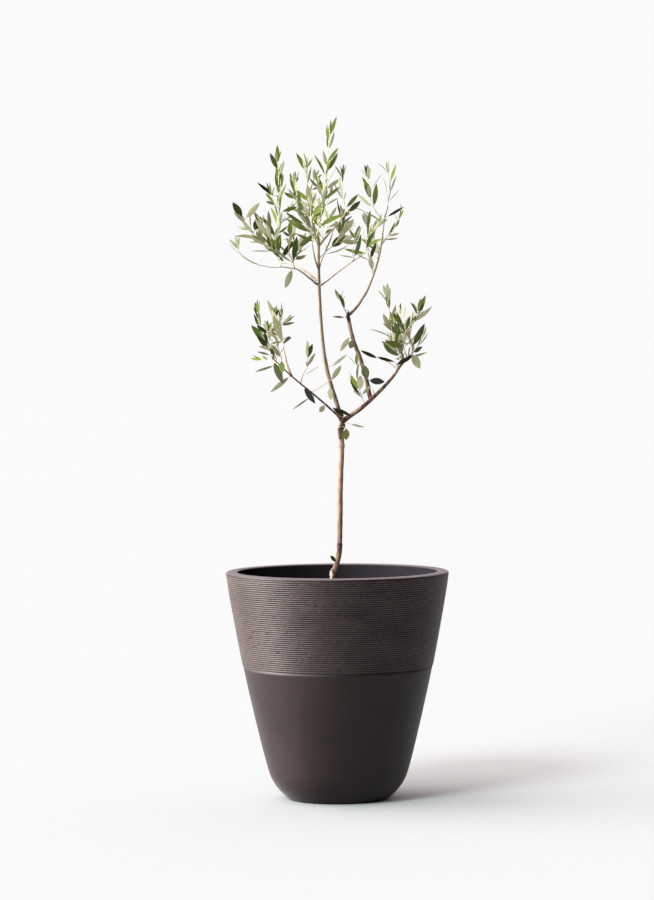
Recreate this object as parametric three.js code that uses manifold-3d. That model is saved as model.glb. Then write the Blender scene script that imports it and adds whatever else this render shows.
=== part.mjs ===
// A young olive tree standing in a round tapered planter with a ridged upper band.
// Millimetres, +Z up. The origin is the centre of the planter's flat underside,
// and the front of the tree faces -Y.

import * as THREE from 'three';
import { mergeVertices } from 'three/addons/utils/BufferGeometryUtils.js';
import Module from 'manifold-3d';

const wasm = await Module();
wasm.setup();

// ---------------------------------------------------------------- dimensions

const GAP = 0.3; // clearance between neighbouring pieces

const POT = {
  height: 400,
  segments: 48,
  footRadius: 88,
  cornerHeight: 53, // the rounded bottom corner blends into the side here
  cornerPull: [116.5, 21.5], // radius and height that the corner curve bends towards
  cornerSteps: 3,
  sideAtGround: 110, // side radius if it ran straight down to z = 0
  sideSlope: 0.2844,
  sideBend: -1.733e-4, // the side steepens a little towards the rim
  sideStations: [130, 220, 310], // heights where the outer wall has a ring of corners
  rimRound: 3.9, // rounding of the rim's outer edge
  rimInnerRadius: 175.5,
  wall: 18,
  wallFoot: 60, // the inner wall runs parallel to the side between these two heights
  wallTop: 300,
  floor: 22,
  floorInset: 4, // how much narrower the floor inside is than the foot
};

const SOIL = { top: 360, coreRadius: 40, clearance: 1 };

const LIMB = { sides: 8, stepLength: 25, minSteps: 4 };
const MASS = { sides: 6, steps: 6, tipRadius: 1.6, lump: 0.2 };

// Every limb: the points that its centre line passes through, from base to tip,
// and its radius at both ends. y is the depth, negative towards the front.
const LIMBS = {
  trunk: {
    radii: [4.9, 4.3],
    points: [
      [-8, 0, 345], [-4, 0, 391], [2, 0, 412], [5, 0, 480],
      [6, 0, 545], [9, 0, 640], [6, 0, 664],
    ],
  },
  leader: {
    radii: [4.6, 2.5],
    points: [
      [9, 0, 640], [13, 1, 655], [4, 3, 686], [-9, 5, 724],
      [-20, 8, 773], [-27, 10, 847], [-30, 6, 940], [-30, 8, 990],
    ],
  },
  right_bough: {
    radii: [4.7, 1.6],
    points: [[9, 1, 664], [25, -3, 672], [60, -12, 700], [101, -24, 743], [112, -26, 761], [132, -30, 781]],
  },
  riser: {
    radii: [3.6, 3.0],
    points: [[60, -12, 700], [54, -9, 730], [45, -4, 766], [29, 4, 808], [21, 10, 850]],
  },
  upper_right_bough: {
    radii: [2.5, 1.3],
    points: [[21, 10, 846], [45, 16, 873], [64, 28, 911], [80, 40, 964], [84, 45, 1000], [91, 50, 1034]],
  },
  left_bough: {
    radii: [2.5, 1.2],
    points: [[12, -1, 661], [-2, -6, 677], [-41, -20, 712], [-73, -34, 739], [-112, -48, 776]],
  },
  crown_left_front_bough: {
    radii: [1.9, 1.0],
    points: [[-29, 8, 899], [-54, -8, 921], [-76, -20, 933], [-107, -34, 932], [-138, -46, 938]],
  },
  crown_left_back_bough: {
    radii: [2.0, 1.1],
    points: [[-29, 8, 906], [-57, 24, 929], [-76, 38, 939], [-99, 52, 942], [-108, 58, 959]],
  },
  crown_right_bough: {
    radii: [1.9, 1.0],
    points: [[-29, 8, 899], [-8, -10, 914], [16, -26, 933], [45, -46, 952]],
  },
  crown_top_right_bough: {
    radii: [1.9, 1.1],
    points: [[-30, 7, 968], [-13, 0, 989], [5, -8, 1008], [15, -14, 1021]],
  },
  crown_front_bough: {
    radii: [1.8, 1.0],
    points: [[-30, 6, 930], [-36, -24, 948], [-40, -56, 972]],
  },
  crown_back_bough: {
    radii: [2.0, 1.1],
    points: [[-30, 7, 920], [-26, 38, 942], [-14, 74, 966]],
  },
  lower_back_bough: {
    radii: [1.9, 1.1],
    points: [[-78, -36, 743], [-86, 4, 764], [-92, 48, 790]],
  },
};

// The knot at the foot of the trunk, where an old stem was cut away: width, depth, height.
const KNOT = { centre: [-9, -1, 398], size: [10, 9, 17], around: 8, down: 5 };
const ROOT_FLARE = { height: 50, extra: 6 };

// A mass of foliage: the limb it grows on, how far along that limb it starts,
// the point its shoot bends through, its tip, and how far its leaves reach.
function shoot(on, at, via, tip, reach) {
  return { on, at, via, tip, reach };
}

const MASSES = {
  top_spire: shoot('leader', 0.98, [-17, 12, 1080], [-6, 10, 1199], 25),
  centre_back_mass: shoot('crown_back_bough', 0.95, [-16, 104, 1010], [-24, 118, 1078], 34),
  centre_front_mass: shoot('crown_front_bough', 0.95, [-40, -78, 1010], [-48, -84, 1066], 31),
  centre_left_mass: shoot('leader', 0.9, [-58, -16, 1010], [-74, -26, 1108], 25),
  centre_spire: shoot('leader', 0.95, [-46, 44, 1040], [-50, 56, 1138], 24),
  centre_right_mass: shoot('leader', 0.86, [6, 36, 984], [18, 50, 1050], 26),
  right_of_centre_spire: shoot('crown_top_right_bough', 0.95, [13, -18, 1060], [14, -20, 1118], 20),
  left_spire: shoot('crown_left_back_bough', 0.95, [-99, 56, 1040], [-100, 50, 1152], 22),
  left_upper_mass: shoot('crown_left_back_bough', 0.78, [-142, 74, 990], [-180, 84, 1050], 21),
  left_middle_mass: shoot('crown_left_front_bough', 0.62, [-108, -52, 968], [-122, -66, 1030], 27),
  left_tip_mass: shoot('crown_left_front_bough', 0.96, [-160, -50, 950], [-187, -48, 990], 18),
  left_front_mass: shoot('crown_left_front_bough', 0.4, [-76, -60, 968], [-84, -92, 1012], 24),
  left_back_mass: shoot('crown_left_back_bough', 0.5, [-70, 88, 976], [-74, 118, 1026], 27),
  right_middle_mass: shoot('crown_right_bough', 0.7, [32, -64, 964], [38, -92, 1008], 24),
  right_front_mass: shoot('crown_right_bough', 0.95, [62, -58, 984], [82, -64, 1030], 22),
  right_inner_spire: shoot('upper_right_bough', 0.36, [57, 14, 964], [52, 8, 1036], 21),
  right_back_mass: shoot('upper_right_bough', 0.5, [72, 84, 968], [66, 112, 1016], 27),
  right_spire: shoot('upper_right_bough', 0.78, [62, 48, 1056], [57, 52, 1120], 20),
  right_outer_spire: shoot('upper_right_bough', 0.97, [98, 54, 1066], [91, 60, 1127], 20),
  right_outer_mass: shoot('upper_right_bough', 0.7, [104, 30, 1000], [124, 22, 1046], 12),
  riser_tuft: shoot('riser', 0.94, [12, 2, 866], [0, -4, 890], 14),
  riser_middle_tuft: shoot('riser', 0.62, [12, -14, 804], [0, -22, 842], 12),
  riser_foot_sprig: shoot('right_bough', 0.27, [38, -26, 728], [34, -34, 790], 17),
  riser_side_sprig: shoot('riser', 0.24, [72, 8, 742], [84, 20, 762], 13),
  lower_right_inner_mass: shoot('right_bough', 0.8, [98, -40, 826], [84, -44, 910], 23),
  lower_right_outer_mass: shoot('right_bough', 0.97, [138, -30, 826], [150, -32, 884], 23),
  lower_right_back_mass: shoot('right_bough', 0.84, [118, 38, 816], [112, 66, 876], 25),
  lower_right_front_mass: shoot('right_bough', 0.9, [122, -74, 806], [126, -98, 856], 22),
  lower_right_side_mass: shoot('right_bough', 0.86, [144, 6, 790], [164, 18, 834], 18),
  lower_left_outer_mass: shoot('left_bough', 0.97, [-130, -52, 820], [-142, -54, 884], 21),
  lower_left_inner_mass: shoot('left_bough', 0.82, [-98, -38, 808], [-86, -34, 864], 22),
  lower_left_front_mass: shoot('left_bough', 0.9, [-116, -92, 802], [-122, -112, 850], 21),
  lower_left_back_mass: shoot('lower_back_bough', 0.95, [-104, 84, 824], [-108, 104, 872], 25),
  lower_left_low_mass: shoot('left_bough', 0.88, [-122, -14, 770], [-148, -2, 790], 17),
  inner_left_sprig: shoot('left_bough', 0.6, [-52, -18, 756], [-44, -10, 810], 16),
  leader_foot_sprig: shoot('leader', 0.12, [-2, -18, 730], [-3, -26, 794], 15),
  fork_tuft: shoot('right_bough', 0.06, [26, -26, 662], [44, -40, 654], 10),
};

// ----------------------------------------------------------------- materials

const MATERIALS = {
  pot: new THREE.MeshStandardMaterial({ color: 0x3c3230, roughness: 0.7, metalness: 0 }),
  soil: new THREE.MeshStandardMaterial({ color: 0x2e241c, roughness: 1, metalness: 0 }),
  bark: new THREE.MeshStandardMaterial({ color: 0xa88d78, roughness: 0.9, metalness: 0 }),
  leaf: new THREE.MeshStandardMaterial({ color: 0x6f8452, roughness: 0.6, metalness: 0 }),
};

// ------------------------------------------------------------ solids and cuts

function toSolid(geometry) {
  const bare = geometry.clone();
  bare.deleteAttribute('normal');
  bare.deleteAttribute('uv');
  const welded = mergeVertices(bare, 1e-4);
  const mesh = new wasm.Mesh({
    numProp: 3,
    vertProperties: new Float32Array(welded.attributes.position.array),
    triVerts: new Uint32Array(welded.index.array),
  });
  return new wasm.Manifold(mesh);
}

function toGeometry(solid) {
  const mesh = solid.getMesh();
  const geometry = new THREE.BufferGeometry();
  geometry.setAttribute('position', new THREE.BufferAttribute(new Float32Array(mesh.vertProperties), 3));
  geometry.setIndex(new THREE.BufferAttribute(new Uint32Array(mesh.triVerts), 1));
  geometry.computeVertexNormals();
  return geometry;
}

// A cut can leave loose crumbs beside the piece, so only the largest part stays.
function largestPart(solid) {
  const parts = solid.decompose();
  return parts.reduce((best, part) => (part.volume() > best.volume() ? part : best));
}

// A closed tube along a curve whose radius depends on the place along it and
// on the angle round it. The unit tube's rings are moved out to that radius.
function sweptSolid(curve, steps, sides, radiusAt) {
  const section = new THREE.Shape();
  section.absarc(0, 0, 1, 0, 2 * Math.PI, false);
  const geometry = new THREE.ExtrudeGeometry(section, {
    steps,
    curveSegments: sides / 2, // an arc's points are twice its divisions
    bevelEnabled: false,
    extrudePath: curve,
  });
  const stations = curve.getSpacedPoints(steps);
  const frames = curve.computeFrenetFrames(steps, false);
  const position = geometry.attributes.position;
  const vertex = new THREE.Vector3();
  for (let i = 0; i < position.count; i += 1) {
    vertex.fromBufferAttribute(position, i);
    let ring = 0;
    stations.forEach((station, k) => {
      if (station.distanceTo(vertex) < stations[ring].distanceTo(vertex)) ring = k;
    });
    const offset = vertex.clone().sub(stations[ring]);
    const angle = Math.atan2(offset.dot(frames.binormals[ring]), offset.dot(frames.normals[ring]));
    offset.multiplyScalar(radiusAt(ring / steps, angle));
    vertex.copy(stations[ring]).add(offset);
    position.setXYZ(i, vertex.x, vertex.y, vertex.z);
  }
  return toSolid(geometry);
}

// -------------------------------------------------------------------- planter

function potSideRadius(z) {
  return POT.sideAtGround + POT.sideSlope * z + POT.sideBend * z * z;
}

function potWallInnerRadius(z) {
  return potSideRadius(z) - POT.wall;
}

function latheSolid(profile) {
  const geometry = new THREE.LatheGeometry(profile, POT.segments);
  geometry.rotateX(Math.PI / 2);
  return toSolid(geometry);
}

function potSolid() {
  const corner = new THREE.QuadraticBezierCurve(
    new THREE.Vector2(POT.footRadius, 0),
    new THREE.Vector2(...POT.cornerPull),
    new THREE.Vector2(potSideRadius(POT.cornerHeight), POT.cornerHeight),
  );
  const rimBase = POT.height - POT.rimRound;
  const rimRadius = potSideRadius(rimBase);
  const profile = [new THREE.Vector2(0, 0), ...corner.getPoints(POT.cornerSteps)];
  for (const z of [...POT.sideStations, rimBase]) profile.push(new THREE.Vector2(potSideRadius(z), z));
  profile.push(new THREE.Vector2(rimRadius - POT.rimRound, POT.height));
  profile.push(new THREE.Vector2(POT.rimInnerRadius, POT.height));
  for (const z of [POT.wallTop, POT.wallFoot]) profile.push(new THREE.Vector2(potWallInnerRadius(z), z));
  profile.push(new THREE.Vector2(POT.footRadius - POT.floorInset, POT.floor));
  profile.push(new THREE.Vector2(0, POT.floor));
  return latheSolid(profile);
}

// Radius of the inner wall at the height of the soil's surface, above the wall's last ring.
function wallRadiusAtSoil() {
  const widening = (POT.rimInnerRadius - potWallInnerRadius(POT.wallTop)) / (POT.height - POT.wallTop);
  return potWallInnerRadius(POT.wallTop) + widening * (SOIL.top - POT.wallTop);
}

// The soil fills the planter, a clearance inside the wall all the way up.
function soilSolid(grow) {
  const profile = [new THREE.Vector2(0, POT.floor + GAP)];
  profile.push(new THREE.Vector2(POT.footRadius - POT.floorInset - SOIL.clearance, POT.floor + GAP));
  for (const z of [POT.wallFoot, POT.wallTop]) {
    profile.push(new THREE.Vector2(potWallInnerRadius(z) - SOIL.clearance, z));
  }
  profile.push(new THREE.Vector2(wallRadiusAtSoil() - SOIL.clearance, SOIL.top + grow));
  profile.push(new THREE.Vector2(SOIL.coreRadius, SOIL.top + grow));
  profile.push(new THREE.Vector2(0, SOIL.top + grow));
  return latheSolid(profile);
}

// ---------------------------------------------------------------------- limbs

function limbCurve(name) {
  const points = LIMBS[name].points.map((p) => new THREE.Vector3(...p));
  return new THREE.CatmullRomCurve3(points, false, 'centripetal');
}

function limbSolid(name, grow) {
  const curve = limbCurve(name);
  const [base, tip] = LIMBS[name].radii;
  const steps = Math.max(LIMB.minSteps, Math.round(curve.getLength() / LIMB.stepLength));
  const flareShare = ROOT_FLARE.height / curve.getLength();
  return sweptSolid(curve, steps, LIMB.sides, (along) => {
    const flare = name === 'trunk' ? ROOT_FLARE.extra * Math.max(0, 1 - along / flareShare) : 0;
    return base + (tip - base) * along + flare + grow;
  });
}

function knotSolid(grow) {
  const geometry = new THREE.SphereGeometry(1, KNOT.around, KNOT.down);
  geometry.rotateX(Math.PI / 2);
  geometry.scale(...KNOT.size.map((s) => s / 2 + grow));
  geometry.translate(...KNOT.centre);
  return toSolid(geometry);
}

function limbWithDetails(name, grow) {
  const limb = limbSolid(name, grow);
  return name === 'trunk' ? limb.add(knotSolid(grow)) : limb;
}

// -------------------------------------------------------------------- foliage

function massCurve(mass) {
  const start = limbCurve(mass.on).getPointAt(mass.at);
  return new THREE.CatmullRomCurve3(
    [start, new THREE.Vector3(...mass.via), new THREE.Vector3(...mass.tip)],
    false,
    'centripetal',
  );
}

// A shoot's foliage: narrow where it leaves the limb, fullest below the middle,
// drawn out to a point, and lumpy in a way that differs from mass to mass.
function massSolid(mass, seed, grow) {
  const turn = seed * 2.4;
  return sweptSolid(massCurve(mass), MASS.steps, MASS.sides, (along, angle) => {
    const fullness = Math.sin(Math.PI * Math.pow(along, 0.8)) ** 0.75;
    const lump = Math.sin(3 * angle + turn + 5 * along) * 0.6 + Math.sin(7 * along + 2 * angle + turn) * 0.4;
    const radius = mass.reach * Math.max(0, fullness) * (1 + MASS.lump * lump);
    return Math.max(MASS.tipRadius, radius) + grow;
  });
}

// ------------------------------------------------------------------- assembly

const tree = new THREE.Group();

function addPiece(name, solid, material) {
  const mesh = new THREE.Mesh(toGeometry(solid), material);
  mesh.name = name;
  tree.add(mesh);
}

addPiece('pot', potSolid(), MATERIALS.pot);
addPiece('soil', soilSolid(0), MATERIALS.soil);

// Each later piece is cut back from the grown shape of every earlier one that it
// meets. The soil's surface gives the trunk its flat cut at ground level.
const taken = [soilSolid(GAP)];

function meets(a, b) {
  const one = a.boundingBox();
  const two = b.boundingBox();
  return [0, 1, 2].every((k) => one.min[k] < two.max[k] && two.min[k] < one.max[k]);
}

function cutFromTaken(solid) {
  const neighbours = taken.filter((other) => meets(solid, other));
  return largestPart(neighbours.reduce((rest, other) => rest.subtract(other), solid));
}

for (const name of Object.keys(LIMBS)) {
  addPiece(name, cutFromTaken(limbWithDetails(name, 0)), MATERIALS.bark);
  taken.push(limbWithDetails(name, GAP));
}

Object.entries(MASSES).forEach(([name, mass], seed) => {
  addPiece(name, cutFromTaken(massSolid(mass, seed, 0)), MATERIALS.leaf);
  taken.push(massSolid(mass, seed, GAP));
});

export default tree;
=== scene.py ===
"""A potted olive tree: planter, soil, bark limbs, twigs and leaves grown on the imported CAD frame."""

import math
import random
from collections import namedtuple

import bpy
import numpy as np
from mathutils import Matrix, Vector, noise


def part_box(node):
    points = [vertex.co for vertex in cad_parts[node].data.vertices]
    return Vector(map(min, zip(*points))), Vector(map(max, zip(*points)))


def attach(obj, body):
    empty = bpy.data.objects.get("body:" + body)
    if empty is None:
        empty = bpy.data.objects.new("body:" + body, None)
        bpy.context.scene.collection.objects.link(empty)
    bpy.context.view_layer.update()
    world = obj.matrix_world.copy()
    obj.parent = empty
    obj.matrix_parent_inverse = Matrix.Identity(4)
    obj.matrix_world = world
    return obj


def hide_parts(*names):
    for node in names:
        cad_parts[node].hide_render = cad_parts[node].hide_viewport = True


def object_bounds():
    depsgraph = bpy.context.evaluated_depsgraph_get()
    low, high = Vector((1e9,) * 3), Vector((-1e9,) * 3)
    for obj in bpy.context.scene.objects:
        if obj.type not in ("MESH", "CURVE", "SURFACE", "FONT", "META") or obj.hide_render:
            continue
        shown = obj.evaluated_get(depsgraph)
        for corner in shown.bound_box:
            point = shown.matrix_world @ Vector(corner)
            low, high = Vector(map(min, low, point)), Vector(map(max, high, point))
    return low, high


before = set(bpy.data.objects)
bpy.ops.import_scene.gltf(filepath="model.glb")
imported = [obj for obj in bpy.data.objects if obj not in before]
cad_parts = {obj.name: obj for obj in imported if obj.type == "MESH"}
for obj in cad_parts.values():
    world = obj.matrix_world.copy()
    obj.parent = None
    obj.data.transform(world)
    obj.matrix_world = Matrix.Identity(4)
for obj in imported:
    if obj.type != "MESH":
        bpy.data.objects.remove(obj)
cad_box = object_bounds()

MM = 0.001
SOIL_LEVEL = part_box("soil")[1].z
ROOT = "root"
SEED = 20

# ---- dimensions

CAMERA = {
    "place": (-0.0168, -7.105, 0.9155),
    "pitch_deg": 2.442,
    "roll_deg": 0.351,
    "lens": 162.4,
    "sensor": 36.0,
}

FLOOR_COLOR = (0.664, 0.676, 0.68)
# Suns: where each shines from, and how wide it is. The side lights are flagged off the floor
# and the rim, and the low one off the leaves too, so that they cast no second shadow.
SUNS = {
    "key": {"from": (-0.574, -0.819, 0.675), "energy": 2.05, "width_deg": 20, "color": (0.82, 0.97, 1.0)},
    "top": {"from": (-1.0, -0.12, 1.25), "energy": 2.05, "width_deg": 75, "color": (1.0, 0.965, 0.95)},
    "side": {"from": (-1.0, 0.1, 0.25), "energy": 3.0, "width_deg": 40, "color": (1.0, 0.97, 0.94)},
    "low_side": {"from": (-1.0, -0.03, 0.7), "energy": 20.0, "width_deg": 36, "color": (1.0, 0.93, 0.91)},
}
# The studio is white behind the plant and on its left, dim towards the front right, and
# warm overhead between these two heights on the unit sphere.
STUDIO = {"white": 0.956, "dim": 0.1, "white_side": (-0.707, 0.707, 0.0), "white_from": 0.6}
WARM_CEILING = {"color": (1.0, 0.88, 0.86), "from": 0.15, "to": 0.6}

POT = {
    "segments": 360,
    "band_foot": 0.5865,  # height of the ridged band's lower edge, as a share of the pot
    "ridges": 44,
    "top_margin": 0.0125,  # plain strip below the rim, as a share of the pot
    "ridge_height": 1.3 * MM,
    "ridge_roundness": 0.55,  # the lower, the broader the ridges
    "lowest_ridge": 0.15,  # what a chip leaves of a ridge, at least
    "pale_crest_from": 0.84,  # share of a ridge's height where its paler crest begins: dust and a painted highlight
    "step": 1.0 * MM,  # how far the plain lower part stands inside the band
    "unevenness": 0.12 * MM,
    "points_per_ridge": 6,
    "side_rings": 45,
    "side_crowding": 1.25,  # over 1, they are closer together at the foot
    "rounding_rings": 8,
    "inside_rings": 14,
    "lip_round": 1.5 * MM,  # rounding of the rim's inner edge
    "soil_gap": 1.0 * MM,  # between the soil and the wall round it
    "mouth_margin": 0.4 * MM,  # between the soil's surface and the wall
}

Clay = namedtuple("Clay", "dark light roughness specular sheen")
# The clay of the planter's wall, rim and inside. The rim's is painted far paler than the wall's, a
# painted reflection of the white studio on its top.
CLAY = {
    "fibre_clay": Clay((0.01, 0.006, 0.0054), (0.0165, 0.01, 0.0091), (0.48, 0.6), 0.2, 0.06),
    "rim_clay_painted_reflection": Clay((0.15, 0.118, 0.127), (0.21, 0.168, 0.179), (0.6, 0.7), 0.3, 0.1),
    "inner_clay": Clay((0.0083, 0.0074, 0.009), (0.0138, 0.0126, 0.015), (0.85, 0.9), 0.0, 0.0),
}
# The paler clay of the ridge tops: dust, and partly a painted highlight where the ridges catch the light.
CREST_DUST_AND_HIGHLIGHT = [(0.35, (0.038, 0.026, 0.023)), (0.7, (0.068, 0.05, 0.045))]

SOIL = {"segments": 240, "rings": 76, "crumbs": 1300, "smallest": 1.0 * MM, "largest": 4.6 * MM}
# Height of the soil's lumps, in millimetres, by how fine they are.
SOIL_LUMPS = [(14, 3.5), (38, 2.6), (90, 2.0), (260, 1.1)]
# Colours of the surface, with their places on the noise, and of the crumbs on it.
SOIL_SHADES = [(0.35, (0.0035, 0.0023, 0.0017)), (0.72, (0.016, 0.0102, 0.0068))]
SOIL_TINTS = {
    "peat": (0.005, 0.0033, 0.0024),
    "loam": (0.0105, 0.0068, 0.0047),
    "bark_chip": (0.019, 0.0112, 0.0068),
}

# The limbs, each after the one it grows on: its kind of bark, and how far it fades to young
# grey-green at its tip.
LIMBS = {
    "trunk": ("trunk", 0.0),
    "leader": ("old", 0.25),
    "right_bough": ("old", 0.0),
    "riser": ("old", 0.0),
    "upper_right_bough": ("young", 0.5),
    "left_bough": ("young", 0.0),
    "crown_left_front_bough": ("young", 1.0),
    "crown_left_back_bough": ("young", 0.5),
    "crown_right_bough": ("young", 0.3),
    "crown_top_right_bough": ("young", 0.2),
    "crown_front_bough": ("young", 0.5),
    "crown_back_bough": ("young", 0.5),
    "lower_back_bough": ("young", 0.0),
}

BARK = {
    "sides": 18,
    "step": 2.2 * MM,
    "slices": 14,  # cuts through a CAD limb that give its centre line
    "buried": 6 * MM,  # how far the trunk runs down into the soil
    "relief": 0.09,
    "girth": 1.07,  # the round limb reaches the corners of the CAD's eight-sided one
    "young_tip": 0.75,  # a young bough's tip is this much finer than the CAD's
    "flare": 0.85,  # how much the trunk's foot swells, fading over this height
    "flare_height": 13 * MM,
    "collar": 0.28,  # the same at a bough's foot
    "collar_length": 9 * MM,
    "fade": 2.2,  # a limb has faded all it will at 1 / fade of its length
}
# The knot at the trunk's foot: its height over the soil, how far its centre lies inside the
# CAD's leftmost point there, and its half sizes in millimetres.
KNOT = {
    "height": 35 * MM,
    "inset": 5.4 * MM,
    "half_size": (5.8, 5.4, 9.5),
    "seed": 3.0,
    "slice": (4 * MM, 7 * MM),  # where that point is read: height over the knot, half thickness
}
PALE_SHOOT = (0.42, 0.4, 0.31)
CUT_WOOD = (0.42, 0.25, 0.18)
# The blunt stub on the left of the trunk's top, beside the leader: where it leaves the trunk,
# as a share of its length, then its way up in millimetres, and its radii.
STUB = {"share": 0.9, "aside": (-2.2, -1.6, 0), "rise": (-2.6, -1.2, 20), "radii": (3.4, 2.9)}
# Bark colours from the darkest streaks to the lightest, with their places on the noise.
BARK_STOPS = {
    "trunk": [(0.36, (0.036, 0.019, 0.012)), (0.48, (0.119, 0.073, 0.051)), (0.66, (0.223, 0.157, 0.12))],
    "old": [(0.36, (0.026, 0.012, 0.007)), (0.49, (0.088, 0.05, 0.031)), (0.68, (0.19, 0.125, 0.085))],
    "young": [(0.35, (0.045, 0.021, 0.013)), (0.5, (0.115, 0.066, 0.043)), (0.68, (0.21, 0.137, 0.097))],
}
BARK_SCALE = {"trunk": 150.0, "old": 170.0, "young": 220.0}
# Rings of scar on the trunk: share of its length, how much they swell, and their width.
TRUNK_SCARS = [(0.3, 0.16, 3.5 * MM), (0.62, 0.14, 3.0 * MM), (0.86, 0.2, 3.5 * MM)]

LEAF = {
    "stations": 8,
    "thickness": 0.5 * MM,
    "longest": 46 * MM,
    "shortest": 20 * MM,
    "old_slimness": (0.21, 0.37),  # width as a share of length, on an old spray
    "young_slimness": (0.17, 0.27),  # and on a young one
    "stalk": 3.5 * MM,
    "stalk_radii": (0.5 * MM, 0.4 * MM),
    "bend": (0.12, 0.28),  # mean and spread, in radians
    "fold": (0.12, 0.5),  # rise of the edges over the midrib, as a share of half the width
    "edge_droop": 0.12,
}
SHOOT = {
    "internode": 16.5 * MM,
    "first": 14 * MM,
    "base_radius": 1.0 * MM,
    "tip_radius": 0.4 * MM,
    "missing": 0.24,
    "side_reach": 20.5 * MM,  # masses at least this wide carry side shoots
    "side_chance": 0.45,
    "tip_leaf": 23 * MM,
    "tip_lean": 0.3,
    "least_lean": 0.12,
    "woody_until": 0.4,  # older shoots than this stand on woody twigs
}

# Leaf tints, deepest to youngest: upper side, underside, as plain linear colours.
TINTS = {
    "deep": ((0.0105, 0.0125, 0.0036), (0.135, 0.13, 0.066)),
    "mature": ((0.031, 0.0485, 0.008), (0.27, 0.255, 0.142)),
    "olive": ((0.098, 0.12, 0.02), (0.46, 0.44, 0.275)),
    "fresh": ((0.175, 0.24, 0.03), (0.5, 0.505, 0.315)),
}
LEAF_FINISH = {"upper": (0.5, 0.14), "under": (0.75, 0.12)}  # roughness and gloss
TWIG_TINTS = {"twigs_green": (0.36, 0.36, 0.22), "twigs_woody": (0.25, 0.185, 0.135)}

# Age of a shoot, from 0 for old to 1 for young: at the crown's foot, and its rise to the top. The rise is
# partly younger growth and partly painted light: upper sprays draw paler tints as lit, lower ones darker
# as shaded.
YOUTH = {"foot": 0.25, "rise": 0.55}

# Small tufts that are only the single leaves below.
SINGLE_LEAF_MASSES = {"fork_tuft", "riser_side_sprig", "leader_foot_sprig", "riser_middle_tuft"}
# Shoots whose foot is bare for this long.
BARE_FEET = {"left_tip_mass": 38 * MM, "left_upper_mass": 20 * MM}

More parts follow.
